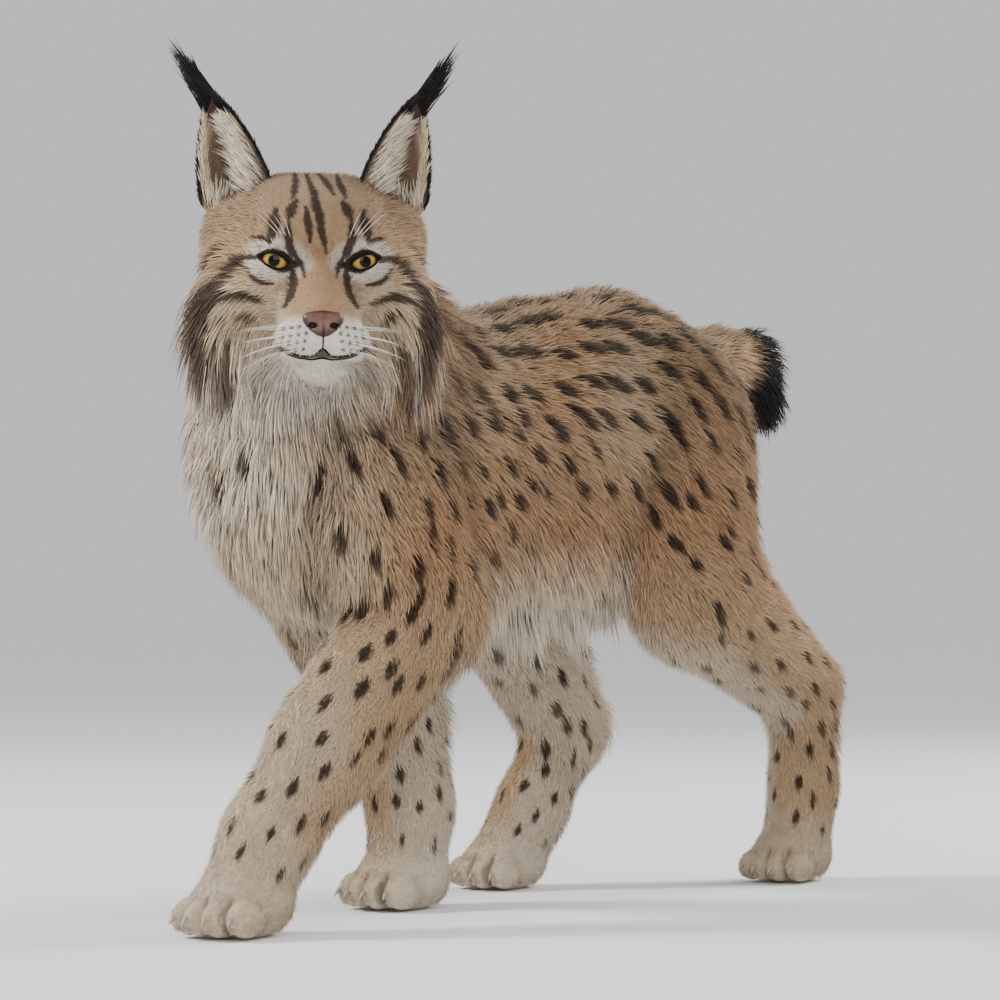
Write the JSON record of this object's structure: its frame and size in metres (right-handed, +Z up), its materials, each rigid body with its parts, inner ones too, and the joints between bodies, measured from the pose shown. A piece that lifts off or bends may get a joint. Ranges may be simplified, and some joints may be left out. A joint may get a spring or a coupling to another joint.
{
  "type": "eurasian lynx model",
  "caption": "Life-size still model of a walking Eurasian lynx in winter coat, head turned to its left",
  "frame": {"origin": "on the floor, under the middle of the outline", "axes": "+X the animal's left, +Y its rear, so that it walks towards -Y, +Z up"},
  "size_m": [0.344, 1.0584, 0.8616],
  "materials": {
    "coat": "dense winter fur, grey-buff with dark spots",
    "ear_coat": "short fur, black behind with a grey patch, and black tufts",
    "eye": "glass eye, amber iris and round pupil",
    "nose_leather": "moist pink-brown leather with a dark edge"
  },
  "bodies": {
    "root": {"torso": "coat", "neck": "coat", "tail": "coat", "head": "coat", "nose": "nose_leather", "eye_left": "eye", "eye_right": "eye", "ear_left": "ear_coat", "ear_right": "ear_coat", "foreleg_left": "coat", "foreleg_right": "coat", "forepaw_left": "coat", "forepaw_right": "coat", "thigh_left": "coat", "thigh_right": "coat", "shank_left": "coat", "shank_right": "coat", "hindpaw_left": "coat", "hindpaw_right": "coat"}
  },
  "joints": []
}
